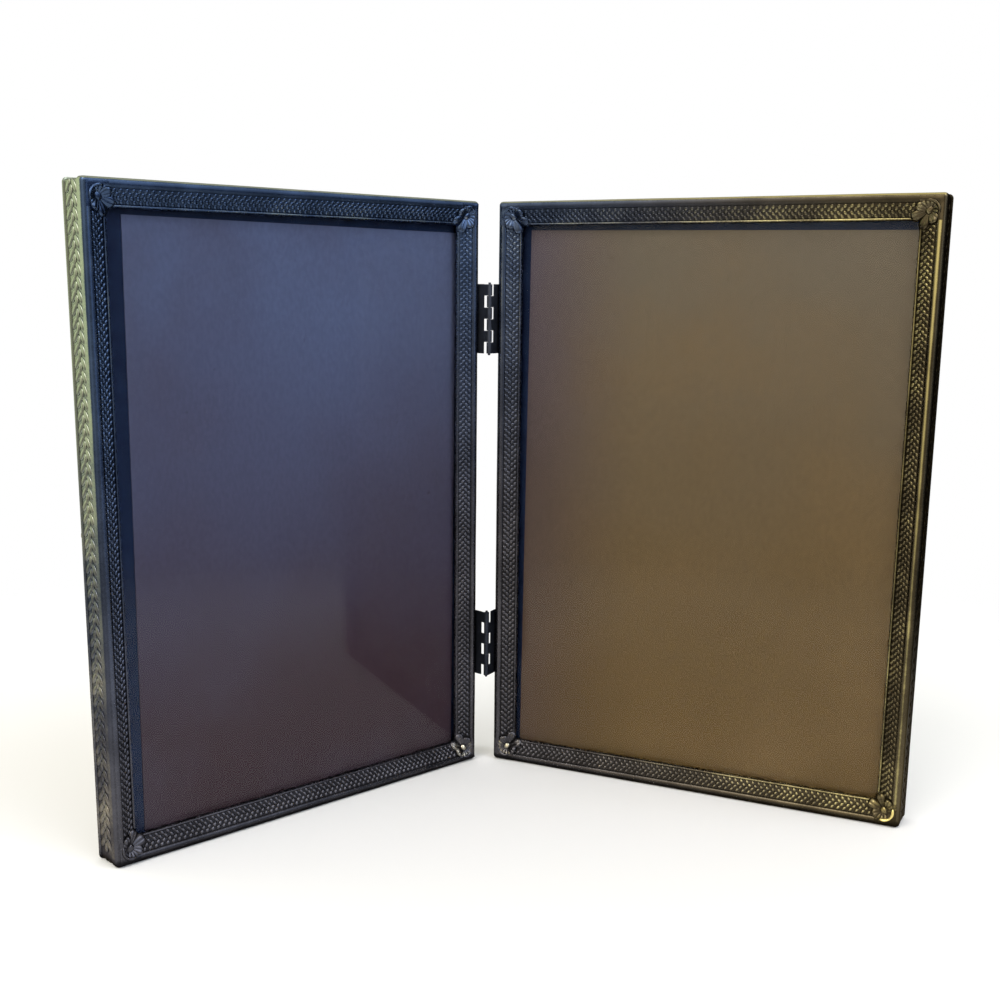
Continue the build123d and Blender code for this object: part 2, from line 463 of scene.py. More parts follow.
def rubbed_metal_with_painted_light(name, darks, gilts, rough=(0.22, 0.36), rub=0.0, painted_shade=1.0):
    """Darkened gilt metal with painted light: dull tarnish in the hollows, gold where it is rubbed, more so
    higher up.

    The tarnish and the gold are each given for the pair's top left, its middle and its right end, which
    paints a cool reflection at the top left and a warm one at the right end, where the gold also shows
    sooner. Painted light gives the lit right panel more gold than the shaded left one. With more rub the
    gold shows sooner. Painted shade is the share of the tarnish's tone that is left along the foot and the
    right edge, where less gold shows too.
    """
    material, tree, shader, coords = new_finish(name)
    axes = split(tree, coords)
    # Painted cool reflection towards the top left, on faces that look forwards
    cool_reflection = cool_reflection_share(tree, axes)
    # Painted warm reflection, growing towards the right end
    right = spread(tree, axes["X"], *warm_reflection_drift)

    def reflection_toned(corner, middle, end):
        return blend_colours(tree, right, blend_colours(tree, cool_reflection, middle, corner), end)

    cloud = noise(tree, coords, scale=90, detail=4)
    speckle = noise(tree, coords, scale=1500, detail=2)
    grain = noise(tree, coords, scale=5200, detail=2)

    # Painted shade along the foot and the right edge: darker tarnish and less gold there
    foot = spread(tree, axes["Z"], *shaded_foot, shaded_share, 1.0)
    right_edge = spread(tree, axes["X"], *shaded_edge, 1.0, shaded_share)
    unshaded = calculate(tree, "MINIMUM", foot, right_edge)
    # More gold higher up, and painted light: more gold on the lit right panel than on the shaded left one
    high = spread(tree, axes["Z"], *gold_heights, 0.62, 1.14)
    lit_right_panel = spread(tree, axes["X"], *lit_panel_sides, 0.5, 1.05)
    gold_by_place = calculate(tree, "MULTIPLY", calculate(tree, "MAXIMUM", high, lit_right_panel), unshaded)
    wear = add_node(tree, "ShaderNodeAttribute", attribute_name="wear").outputs["Fac"]
    placed_wear = calculate(tree, "MULTIPLY", wear, gold_by_place)

    tone = weighted(tree, (cloud, 0.9), (speckle, 0.3))
    # Gold shows sooner towards the right end, part of the painted warm reflection
    hold = spread(tree, right, 0.0, 1.0, 0.78 - rub, 0.62 - rub)
    rubbed = calculate(tree, "ADD", placed_wear, calculate(tree, "SUBTRACT", tone, hold))
    gold = spread(tree, rubbed, 0.3, 1.05)
    hollow = spread(tree, weighted(tree, (placed_wear, 1.0), (speckle, 0.1)), 0.05, 0.2, 1.0, 0.0)
    # Hollows darken less under the painted cool reflection
    hollow_tone = spread(tree, cool_reflection, 0.0, 1.0, 0.42, 0.8)
    shade = darken(tree, reflection_toned(*darks), spread(tree, cloud, 0.3, 0.7, 0.65, 1.0))
    shade = darken(tree, shade, spread(tree, hollow, 0.0, 1.0, 1.0, hollow_tone))
    shade = darken(tree, shade, spread(tree, unshaded, 0.0, 1.0, painted_shade, 1.0))
    colour = blend_colours(tree, gold, shade, reflection_toned(*gilts))
    polish = spread(tree, speckle, 0.25, 0.75, rough[1], rough[0])
    dull = calculate(tree, "MAXIMUM", polish, calculate(tree, "MULTIPLY", hollow, 0.55))

    shader.inputs["Metallic"].default_value = 1.0
    shader.inputs["Specular Tint"].default_value = (0.45, 0.43, 0.4, 1)
    tree.links.new(colour, shader.inputs["Base Color"])
    tree.links.new(dull, shader.inputs["Roughness"])
    roughen(tree, shader, grain, strength=0.06, distance=0.03 * mm)
    return material


def clear_glass():
    material, tree, shader, coords = new_finish("clear_glass")
    shader.inputs["Base Color"].default_value = (0.97, 0.99, 0.985, 1)
    shader.inputs["Transmission Weight"].default_value = 1.0
    shader.inputs["IOR"].default_value = 1.18
    smear = noise(tree, coords, scale=60, detail=3)
    tree.links.new(spread(tree, smear, 0.35, 0.8, 0.0, 0.035), shader.inputs["Roughness"])
    return material


def brown_paper(name, low, high, stain, fold_shade):
    """Aged paper: the tone drifts from foot to head and towards the fold, with stains, fibres and flecks. On
    the left slip the drift paints shade at the foot and a blue reflection at the head; towards the fold it
    is painted shade with a cool cast.
    """
    material, tree, shader, coords = new_finish(name)
    axes = split(tree, coords)
    wander = noise(tree, coords, scale=14, detail=2)
    drift = weighted(tree, (axes["Z"], 1.0), (wander, 60 * mm))
    base = blend_colours(tree, spread(tree, drift, 48 * mm, 248 * mm), low, high)
    stains = spread(tree, noise(tree, coords, scale=18, detail=5), 0.4, 0.8, 0.0, 0.5)
    base = blend_colours(tree, stains, base, stain)
    flecks = spread(tree, noise(tree, coords, scale=420, detail=1), 0.77, 0.83, 0.0, 0.4)
    base = blend_colours(tree, flecks, base, [0.5 * part for part in low])
    fibres = noise(tree, coords, scale=900, detail=3, stretch=(1, 1, 0.6))
    fibre_tone = blend_colours(tree, spread(tree, fibres, 0.3, 0.7), [0.93] * 3, [1.05] * 3)
    # Painted shade with a cool cast towards the fold
    from_fold = spread(tree, calculate(tree, "ABSOLUTE", axes["X"]), 5 * mm, 50 * mm)
    fold_shade_tone = blend_colours(tree, from_fold, fold_shade, [1.0] * 3)
    colour = tint(tree, tint(tree, base, fibre_tone), fold_shade_tone)
    tree.links.new(colour, shader.inputs["Base Color"])
    shader.inputs["Roughness"].default_value = 0.85
    shader.inputs["Specular IOR Level"].default_value = 0.2
    roughen(tree, shader, fibres, strength=0.06, distance=0.05 * mm)
    return material


def dark_card():
    material, tree, shader, coords = new_finish("dark_card")
    mottle = spread(tree, noise(tree, coords, scale=180, detail=4), 0.3, 0.7)
    colour = blend_colours(tree, mottle, (0.006, 0.013, 0.042), (0.01, 0.02, 0.056))
    tree.links.new(colour, shader.inputs["Base Color"])
    shader.inputs["Roughness"].default_value = 0.8
    shader.inputs["Specular IOR Level"].default_value = 0.1
    tooth = noise(tree, coords, scale=1600, detail=2)
    roughen(tree, shader, tooth, strength=0.05, distance=0.02 * mm)
    return material


def velvet():
    material, tree, shader, coords = new_finish("back_velvet")
    nap = noise(tree, coords, scale=45, detail=4, stretch=(1, 1, 0.5))
    pile = noise(tree, coords, scale=3200, detail=2)
    tone = spread(tree, weighted(tree, (nap, 0.7), (pile, 0.4)), 0.35, 0.75)
    colour = blend_colours(tree, tone, (0.012, 0.008, 0.007), (0.035, 0.022, 0.017))
    tree.links.new(colour, shader.inputs["Base Color"])
    shader.inputs["Roughness"].default_value = 0.95
    shader.inputs["Sheen Weight"].default_value = 0.6
    shader.inputs["Sheen Roughness"].default_value = 0.45
    shader.inputs["Sheen Tint"].default_value = (0.5, 0.4, 0.34, 1)
    roughen(tree, shader, pile, strength=0.5, distance=0.15 * mm)
    return material


# Moulding


def bead_section():
    """Points of the bead along the opening, with its crest rubbed."""
    radius = bead_width / 2
    for step in range(bead_steps + 1):
        angle = pi * step / bead_steps
        inset = band_end + radius - radius * cos(angle)
        depth = slope_depth(band_end) - bead_rise * sin(angle)
        yield inset, depth, bead_foot_wear + (bead_crest_wear - bead_foot_wear) * sin(angle)


def moulding_section(top, crest):
    """Inset, depth and wear round the section, from the back of the outer wall to the rabbet.

    A top rail has a painted highlight of gold above its rim and painted shade on its roll below, and the
    other lengths are rubbed along the crest as far as it is given, with a painted highlight on the crests
    listed.
    """
    quarter = [pi / 2 * step / roll_steps for step in range(roll_steps + 1)]
    groove_depth = slope_depth(band_start) + ground_sink
    slope_wear = min(crest, crest_wear) / 3
    section = [
        (back_edge_round, panel_depth, back_edge_wear),
        (0.3 * back_edge_round, panel_depth - 0.3 * back_edge_round, back_round_wear),
        (0, panel_depth - back_edge_round, wall_wear),
        (0, channel_back, channel_edge_wear),
        (channel_sink, channel_back - channel_bevel, wall_wear),
        (channel_sink, channel_front + channel_bevel, wall_wear),
        (0, channel_front, channel_edge_wear),
    ]
    for turn in quarter:
        # Top rail: painted highlight above the rim, painted shade on the roll's front
        if top:
            wear = top_edge_highlight_wear * min(1, max(0, (top_highlight_end - turn) / top_highlight_blend))
        else:
            wear = roll_wear + roll_edge_wear * (1 - sin(turn)) ** 2
            wear += (crest - roll_wear) * sin(turn) ** crest_sharpness
        section.append((roll_crest * (1 - cos(turn)), roll_drop * (1 - sin(turn)), wear))
    for turn in quarter[1:]:
        inset = roll_crest + (band_start - roll_crest) * sin(turn)
        wear = slope_wear * cos(turn) + (crest - slope_wear) * cos(turn) ** slope_sharpness
        section.append((inset, groove_depth * (1 - cos(turn)), wear))
    section += [
        (band_start + band_margin, groove_depth, ground_wear),
        (band_end - band_margin, slope_depth(band_end) + ground_sink, ground_wear),
    ]
    section += bead_section()
    section += [
        (sight_inset, sight_depth, sight_wear),
        (sight_inset, lip_back, rabbet_wear),
        (rabbet_inset, lip_back, 0),
        (rabbet_inset, panel_depth, rabbet_wear),
    ]
    return section


def corner_stations(inset):
    """Distance along and inset of a line of the moulding from the mitre to where it runs straight."""
    radius = wall_corner_radius - inset
    for step in range(mitre_stations):
        share = step / (mitre_stations - 1)
        turn = (1 - share) * pi / 4
        if radius > 0:
            yield wall_corner_radius - radius * sin(turn), wall_corner_radius - radius * cos(turn)
        else:
            yield inset + share * wall_corner_radius / 2, inset


def make_moulding(run, material):
    """One mitred length of moulding, with the ripple of metal strip drawn through a die."""
    node = f"{run.panel.name}_{run.node}"
    top = run.node == "top_rail"
    # A top rail's crest is kept dark, painted shade
    even_crest = [top_crest_shade_wear if top else crest_wear] * 2
    # A listed crest gets a painted highlight
    sections = [moulding_section(top, crest) for crest in highlit_crests.get(node, even_crest)]
    straight_length = run.length - 2 * mitre_zone
    spans = round(straight_length / station_pitch)
    straight = [mitre_zone + straight_length * step / spans for step in range(spans + 1)]
    points, wears = [], []
    for (inset, depth, foot_wear), (_, _, head_wear) in zip(*sections):
        start = list(corner_stations(inset))
        end = [(run.length - distance, end_inset) for distance, end_inset in reversed(start)]
        for distance, place in start + [(distance, inset) for distance in straight] + end:
            wave = sin(distance / short_wave_reach + wave_skew * depth) * sin(distance / long_wave_reach + 1)
            ripple = wave_height * (1 + wave)
            point = run.point(distance, place + ripple, depth + ripple)
            points.append(point)
            wears.append(foot_wear + (head_wear - foot_wear) * (point.z / panel_height) ** 2)
    rows = len(sections[0])
    span = len(points) // rows
    faces = list(grid_faces(0, rows, span, closed=True))
    faces.append(tuple(row * span for row in range(rows)))
    faces.append(tuple(row * span + span - 1 for row in reversed(range(rows))))
    mesh = closed_mesh(f"{node}_moulding", points, faces, wears)
    piece = add_piece(f"{node}_moulding", mesh, material, run.panel.body, "moulding")
    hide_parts(node)


# Ornament strung along paths with Geometry Nodes


def strung_tree(name, sizes, make_ornament):
    """Tree that sets an ornament at a pitch along the edges of its input.

    Each ornament is turned to the facing and the lean that the edge has as attributes.
    """
    tree = bpy.data.node_groups.new(name, "GeometryNodeTree")
    tree.interface.new_socket("Paths", in_out="INPUT", socket_type="NodeSocketGeometry")
    for size in ("Pitch", *sizes):
        tree.interface.new_socket(size, in_out="INPUT", socket_type="NodeSocketFloat")
    tree.interface.new_socket("Finish", in_out="INPUT", socket_type="NodeSocketMaterial")
    tree.interface.new_socket("Ornament", in_out="OUTPUT", socket_type="NodeSocketGeometry")
    given = add_node(tree, "NodeGroupInput").outputs

    def attribute(label, kind):
        named = add_node(tree, "GeometryNodeInputNamedAttribute", {"Name": label}, data_type=kind)
        return named.outputs["Attribute"]

    curve = add_node(tree, "GeometryNodeMeshToCurve", {"Mesh": given["Paths"]}).outputs["Curve"]
    sampled = add_node(
        tree, "GeometryNodeResampleCurve", {"Curve": curve, "Length": given["Pitch"]}, mode="LENGTH"
    ).outputs["Curve"]
    tangent = add_node(tree, "GeometryNodeInputTangent").outputs["Tangent"]
    upright = add_node(
        tree,
        "FunctionNodeAxesToRotation",
        {"Primary Axis": attribute("facing", "FLOAT_VECTOR"), "Secondary Axis": tangent},
        primary_axis="Z",
        secondary_axis="X",
    ).outputs["Rotation"]
    turn = add_node(
        tree, "FunctionNodeAxisAngleToRotation", {"Axis": (0, 0, 1), "Angle": attribute("lean", "FLOAT")}
    ).outputs["Rotation"]
    rotation = add_node(
        tree,
        "FunctionNodeRotateRotation",
        {"Rotation": upright, "Rotate By": turn},
        rotation_space="LOCAL",
    ).outputs["Rotation"]
    strung = add_node(
        tree,
        "GeometryNodeInstanceOnPoints",
        {"Points": sampled, "Instance": make_ornament(tree, given), "Rotation": rotation},
    ).outputs["Instances"]
    real = add_node(tree, "GeometryNodeRealizeInstances", {"Geometry": strung}).outputs["Geometry"]
    dressed = add_node(
        tree, "GeometryNodeSetMaterial", {"Geometry": real, "Material": given["Finish"]}
    ).outputs["Geometry"]
    add_node(tree, "NodeGroupOutput", {"Ornament": dressed})
    return tree


def rub_tops(tree, mesh, relief, least, most):
    """Stores more wear the higher a point stands, from the least at its foot to the most at its relief."""
    position = add_node(tree, "GeometryNodeInputPosition").outputs[0]
    height = split(tree, position)["Z"]
    wear = add_node(
        tree,
        "ShaderNodeMapRange",
        {"Value": height, "From Min": 0.0, "From Max": relief, "To Min": least, "To Max": most},
    ).outputs["Result"]
    return add_node(
        tree,
        "GeometryNodeStoreNamedAttribute",
        {"Geometry": mesh, "Name": "wear", "Value": wear},
        data_type="FLOAT",
        domain="POINT",
    ).outputs["Geometry"]


def ball(tree, segments, rings):
    inputs = {"Segments": segments, "Rings": rings, "Radius": 1.0}
    return add_node(tree, "GeometryNodeMeshUVSphere", inputs).outputs["Mesh"]


def scaled(tree, mesh, x, y, z):
    size = add_node(tree, "ShaderNodeCombineXYZ", {"X": x, "Y": y, "Z": z}).outputs[0]
    return add_node(tree, "GeometryNodeTransform", {"Geometry": mesh, "Scale": size}).outputs["Geometry"]


def moved(tree, mesh, x=0.0, y=0.0, turn=0.0):
    step = add_node(tree, "ShaderNodeCombineXYZ", {"X": x, "Y": y}).outputs[0]
    inputs = {"Geometry": mesh, "Translation": step, "Rotation": (0, 0, turn)}
    return add_node(tree, "GeometryNodeTransform", inputs).outputs["Geometry"]


def plait_bead(tree, given):
    """Pill-shaped bead of the plait."""
    half_length = calculate(tree, "MULTIPLY", given["Bead length"], 0.5)
    half_width = calculate(tree, "MULTIPLY", given["Bead width"], 0.5)
    bead = scaled(tree, ball(tree, 8, 6), half_length, half_width, given["Bead relief"])
    return rub_tops(tree, bead, given["Bead relief"], *plait_wear)


def laurel_sprig(tree, given):
    """Sprig of the laurel: a tongue between leaves that spread to both sides, low as embossing is."""
    pitch, width, relief = given["Pitch"], given["Sprig width"], given["Sprig relief"]

    def part(size, share):
        return calculate(tree, "MULTIPLY", size, share)

    round_form = ball(tree, 12, 8)
    leaf = scaled(tree, round_form, part(width, sprig_leaf_length), part(width, sprig_leaf_width), relief)
    tongue = scaled(
        tree, round_form, part(pitch, sprig_tongue_length), part(width, sprig_tongue_width), relief
    )
    forms = [moved(tree, tongue, x=part(pitch, sprig_tongue_lead))]
    for side in (-1, 1):
        away = part(width, side * sprig_leaf_offset)
        forms.append(moved(tree, leaf, y=away, turn=side * laurel_spread))
    join = add_node(tree, "GeometryNodeJoinGeometry")
    for form in forms:
        tree.links.new(form, join.inputs["Geometry"])
    return rub_tops(tree, join.outputs["Geometry"], relief, *laurel_wear)


def rivet_head(tree, given):
    """Low domed head of a rivet."""
    radius, relief = given["Head radius"], given["Head relief"]
    head = scaled(tree, ball(tree, 16, 10), radius, radius, relief)
    return rub_tops(tree, head, relief, *rivet_wear)


def string_along(name, tree, paths, sizes, material, body, slot):
    """Runs a tree over paths of (start, end, facing, lean) and keeps the result as one piece."""
    path_mesh = bpy.data.meshes.new(name)
    ends = [point for start, end, *_ in paths for point in (start, end)]
    path_mesh.from_pydata(ends, [(2 * i, 2 * i + 1) for i in range(len(paths))], [])
    for attribute, kind in (("facing", "FLOAT_VECTOR"), ("lean", "FLOAT")):
        path_mesh.attributes.new(attribute, kind, "POINT")
    for attribute, field, place in (("facing", "vector", 2), ("lean", "value", 3)):
        for end, item in enumerate(path_mesh.attributes[attribute].data):
            setattr(item, field, paths[end // 2][place])
    holder = bpy.data.objects.new(f"{name}_paths", path_mesh)
    bpy.context.scene.collection.objects.link(holder)
    modifier = holder.modifiers.new("strung", "NODES")
    modifier.node_group = tree
    values = {**sizes, "Finish": material}
    for item in tree.interface.items_tree:
        if item.in_out == "INPUT" and item.name in values:
            modifier[item.identifier] = values[item.name]
    evaluated = holder.evaluated_get(bpy.context.evaluated_depsgraph_get())
    mesh = bpy.data.meshes.new_from_object(evaluated)
    bpy.data.objects.remove(holder)
    mesh.name = name
    return add_piece(name, mesh, material, body, slot, smooth_angle=60)


def plait_paths(panel):
    """Four staggered rows of beads on the sloping band of each run.

    The outer and the inner pair of rows lean apart.
    """
    middle = (band_start + band_end) / 2
    rise = Vector((slope_end_depth - slope_start_depth, slope_end - slope_start)).normalized()
    for run in panel.runs():
        facing = panel.facing * rise.y + run.inward() * rise.x
        for row, lean in enumerate((plait_lean, plait_lean, -plait_lean, -plait_lean)):
            inset = middle + (row - 1.5) * plait_row_spacing
            depth = slope_depth(inset) + ground_sink
            gap = middle + plait_end_gap + row % 2 * plait_pitch / 2
            start = run.point(gap, inset, depth)
            end = run.point(run.length - gap, inset, depth)
            yield start, end, facing, lean


def laurel_paths(panel):
    """The line of the laurel on each outer wall."""
    depth = (channel_front + channel_back) / 2
    for run in panel.runs():
        start = run.point(laurel_end_gap, channel_sink, depth)
        end = run.point(run.length - laurel_end_gap - laurel_pitch, channel_sink, depth)
        yield start, end, -run.inward(), 0


def rivet_paths(panel):
    """The rivets of the hinge leaves, on the faces that look into the fold."""
    for height in hinge_heights:
        foot = panel.point(0, height - rivet_spacing / 2, rivet_depth) - panel.outward * hinge_leaf_thickness
        yield foot, foot + panel.up * rivet_spacing, -panel.outward, 0


# Corner palmettes


def leaf_ground(inset):
    """Depth of the smooth slope that a corner palmette lies on."""
    if inset < leaf_round:
        return leaf_round - sqrt(max(0, leaf_round**2 - (leaf_round - inset) ** 2))
    return leaf_fall * max(0, (inset - leaf_flat) / (sight_inset - leaf_flat))


class Relief:
    """Points, faces and wear of the raised forms of one corner, laid on its slope."""

    def __init__(self, panel, corner, legs):
        self.panel, self.corner, self.legs = panel, corner, legs
        self.points, self.faces, self.wears = [], [], []

    def place(self, x, y, lift, wear):
        """Adds a point by its distances from the two outer walls and its lift off the slope."""
        x, y = max(x, leaf_margin), max(y, leaf_margin)
        crease = max(0, 1 - abs(x - y) / crease_width) * crease_height
        depth = leaf_ground(min(x, y)) - lift - crease
        across = self.corner[0] + self.legs[0] * x
        upward = self.corner[1] + self.legs[1] * y
        self.points.append(self.panel.point(across, upward, depth))
        self.wears.append(wear)

    def add_plate(self, most_wear):
        """Smooth plate under the palmette, a thin solid."""
        first = len(self.points)
        span = plate_cells + 1
        stops = [plate_start + (sight_inset - plate_start) * i / plate_cells for i in range(span)]
        for lift, wear in ((plate_lift, most_wear), (-plate_lift, 0)):
            for i, x in enumerate(stops):
                for j, y in enumerate(stops):
                    edge = min(1, 4 * min(i, j, plate_cells - i, plate_cells - j) / plate_cells)
                    self.place(x, y, lift * (0.4 + 0.6 * edge), wear)
        low = first + span * span
        self.faces += grid_faces(first, span, span)
        self.faces += grid_faces(low, span, span)
        rim = grid_rim(span, span)
        for a, b in zip(rim, rim[1:] + rim[:1]):
            self.faces.append((first + a, first + b, low + b, low + a))

    def add_lobe(self, start, end, width, height, blunt, vein, most_wear):
        """A rounded blade with a sunk vein, wider, higher and more rubbed towards its tip."""
        start, along = Vector(start), Vector(end) - Vector(start)
        across = Vector((-along.y, along.x)).normalized()
        first = len(self.points)
        for i in range(lobe_steps + 1):
            t = i / lobe_steps
            swell = sqrt(max(0, 1 - (2 * t - 1) ** 2)) * (lobe_root + blunt * t)
            for j in range(-lobe_half_steps, lobe_half_steps + 1):
                u = j / lobe_half_steps
                spot = start + along * t + across * (u * width * swell)
                crown = sqrt(max(0, 1 - u * u)) * swell
                groove = vein * max(0, 1 - abs(u) / vein_share) * min(1, 3 * t) * swell
                lift = height * crown * (0.7 + 0.5 * t) - groove - leaf_sink * (1 - crown)
                rubbed = min(1, max(0, lift / height)) * (0.4 + 0.6 * t)
                self.place(spot.x, spot.y, lift, most_wear * rubbed)
        self.add_cover(first, lobe_steps + 1)

    def add_crescent(self, middle, most_wear):
        """A smooth ridge round the corner side of the boss, tapering to its ends."""
        centre = Vector((palmette_centre, palmette_centre))
        first = len(self.points)
        for i in range(crescent_steps + 1):
            s = 2 * i / crescent_steps - 1
            angle = radians(middle + s * crescent_spread)
            ray = Vector((cos(angle), sin(angle)))
            swell = sqrt(1 - s**4)
            for j in range(-lobe_half_steps, lobe_half_steps + 1):
                u = j / lobe_half_steps
                crown = sqrt(max(0, 1 - u * u)) * swell
                spot = centre + ray * (crescent_radius + u * crescent_width * (0.35 + 0.65 * swell))
                lift = crescent_height * crown - leaf_sink * (1 - crown)
                self.place(spot.x, spot.y, lift, most_wear * crown)
        self.add_cover(first, crescent_steps + 1)

    def add_cover(self, first, rows):
        """Faces over a lobe's rows of points, closed underneath."""
        span = 2 * lobe_half_steps + 1
        self.faces += grid_faces(first, rows, span)
        rim = [first + row * span for row in range(rows)]
        rim += [first + row * span + span - 1 for row in reversed(range(rows))]
        self.faces.append(tuple(rim))

    def fan(self, middle, reaches, width, height, blunt, vein, most_wear):
        """Lobes that spread from the centre, at angles from the middle one."""
        centre = Vector((palmette_centre, palmette_centre))
        for turn, reach in reaches.items():
            angle = radians(middle + turn)
            ray = Vector((cos(angle), sin(angle)))
            start = centre + ray * boss_radius / 2
            self.add_lobe(start, centre + ray * reach, width, height, blunt, vein, most_wear)


def make_palmette(panel, name, corner, legs, material, rub):
    """The ornament over one corner."""
    relief = Relief(panel, corner, legs)
    relief.add_plate(rub["plate"])
    flutes = {turn: flute_reach for turn in flute_angles}
    relief.fan(corner_angle, flutes, flute_width, flute_height, flute_bluntness, 0, rub["flutes"])
    relief.add_crescent(corner_angle, rub["crescent"])
    relief.fan(
        opening_angle, blade_reach, blade_width, blade_height, blade_bluntness, blade_vein, rub["blades"]
    )
    low = palmette_centre - boss_radius
    high = palmette_centre + boss_radius
    relief.add_lobe((low, low), (high, high), boss_width, boss_height, boss_bluntness, 0, rub["boss"])
    full_name = f"{panel.name}_{name}_palmette"
    mesh = closed_mesh(full_name, relief.points, relief.faces, relief.wears)
    piece = add_piece(full_name, mesh, material, panel.body, "corner_leaf", smooth_angle=70)
    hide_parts(f"{panel.name}_{name}")


# Velvet back


def back_stops(length, cells):
    """Places across or along the back: close together over its round edges, even between them."""
    edge = [
        back_edge_radius * (1 - cos(pi / 2 * step / back_edge_steps)) for step in range(back_edge_steps + 1)
    ]
    even = [edge[-1] + (length - 2 * edge[-1]) * cell / cells for cell in range(1, cells)]
    return edge + even + [length - stop for stop in reversed(edge)]


def make_back(panel, material):
    """Velvet drawn over the back board: soft edges and a faint sag between them."""
    inset = rabbet_inset + back_play
    low = min(0, panel.side * panel_width) + inset
    width = panel_width - 2 * inset
    height = panel_height - 2 * inset
    rear = panel_depth - back_recess
    across = back_stops(width, back_cells_across)
    along = back_stops(height, back_cells_along)
    points = []
    for y in along:
        for x in across:
            near = min(x, width - x, y, height - y)
            fall = back_edge_radius - min(near, back_edge_radius)
            roll = back_edge_radius - sqrt(back_edge_radius**2 - fall**2)
            wave = sin(x / sag_reach_across + 2) * sin(y / sag_reach_along)
            sag = sag_depth * (1 + wave) * min(1, near / sag_margin)
            points.append(panel.point(low + x, inset + y, rear - roll - sag))
    rows, span = len(along), len(across)
    faces = list(grid_faces(0, rows, span))
    rim = grid_rim(rows, span)
    first, count = len(points), len(rim)
    for index in rim:
        x, y = across[index % span], along[index // span]
        points.append(panel.point(low + x, inset + y, back_front))
    for here in range(count):
        there = (here + 1) % count
        faces.append((rim[here], rim[there], first + there, first + here))
    faces.append(tuple(range(first, first + count)))
    name = f"{panel.name}_velvet_back"
    piece = add_piece(name, closed_mesh(name, points, faces), material, panel.body, "back_cloth")
    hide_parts(f"{panel.name}_back_panel")


# Finishes: the metal's tones are for the pair's top left, its middle and its right end, painting a cool
# reflection at the top left and a warm one at the right end

tarnish_and_reflection = ((0.062, 0.1, 0.185), (0.085, 0.083, 0.096), (0.105, 0.084, 0.048))
moulding_gilt_and_reflection = ((0.3, 0.335, 0.255), (0.36, 0.32, 0.24), (0.5, 0.43, 0.18))
leaf_gilt_and_reflection = ((0.3, 0.32, 0.3), (0.36, 0.34, 0.27), (0.5, 0.43, 0.22))
bright_gilt_and_highlight = ((0.75, 0.72, 0.6), (0.8, 0.74, 0.56), (0.9, 0.74, 0.27))
hinge_tarnish = ((0.1, 0.113, 0.15),) * 3
hinge_rubbed = ((0.28, 0.265, 0.24),) * 3
brass = ((0.25, 0.19, 0.09),) * 3
brass_rubbed = ((0.5, 0.4, 0.2),) * 3
# Share of the tarnish's tone left under the painted shade along the foot and the right edge
edge_painted_shade = 0.4

moulding_finish = rubbed_metal_with_painted_light("darkened_gilt", tarnish_and_reflection, moulding_gilt_and_reflection, painted_shade=edge_painted_shade)
leaf_finish = rubbed_metal_with_painted_light("palmette_gilt", tarnish_and_reflection, leaf_gilt_and_reflection, rub=-0.2, painted_shade=edge_painted_shade)
# Brighter gilt that paints the highlights on some corners
bright_leaf_finish = rubbed_metal_with_painted_light(
    "bright_palmette_gilt", tarnish_and_reflection, bright_gilt_and_highlight, rub=0.3, painted_shade=edge_painted_shade
)
hinge_finish = rubbed_metal_with_painted_light("hinge_metal", hinge_tarnish, hinge_rubbed, rough=(0.3, 0.5), rub=0.2)
button_finish = rubbed_metal_with_painted_light("button_brass", brass, brass_rubbed, rough=(0.28, 0.45), rub=0.5)
glass_finish = clear_glass()
card_finish = dark_card()
velvet_finish = velvet()
slip_finishes = {
    # Painted shade and a painted blue reflection: the left slip's colours are dark at the foot and blue
    # towards the head
    "left": brown_paper(
        "left_slip_paper",
        low=(0.042, 0.022, 0.03),
        high=(0.106, 0.136, 0.262),
        stain=(0.068, 0.056, 0.088),
        fold_shade=(1, 1, 1),
    ),
    "right": brown_paper(
        "right_slip_paper",
        low=(0.138, 0.083, 0.026),
        high=(0.16, 0.129, 0.096),
        stain=(0.195, 0.122, 0.052),
        fold_shade=(0.6, 0.6, 1.2),
    ),
}


def dress(node, material):
    """Gives a CAD node its finish."""
    nodes[node].data.materials.clear()
    nodes[node].data.materials.append(material)


# Trees for the repeated ornament, and their sizes

plait_tree = strung_tree("plait_rows", ("Bead length", "Bead width", "Bead relief"), plait_bead)
laurel_tree = strung_tree("laurel_rows", ("Sprig width", "Sprig relief"), laurel_sprig)
rivet_tree = strung_tree("leaf_rivets", ("Head radius", "Head relief"), rivet_head)
plait_sizes = {
    "Pitch": plait_pitch,
    "Bead length": plait_length,
    "Bead width": plait_width,
    "Bead relief": plait_relief,
}
laurel_sizes = {"Pitch": laurel_pitch, "Sprig width": laurel_width, "Sprig relief": laurel_relief}
rivet_sizes = {"Pitch": rivet_spacing, "Head radius": rivet_radius, "Head relief": rivet_relief}

# The two panels

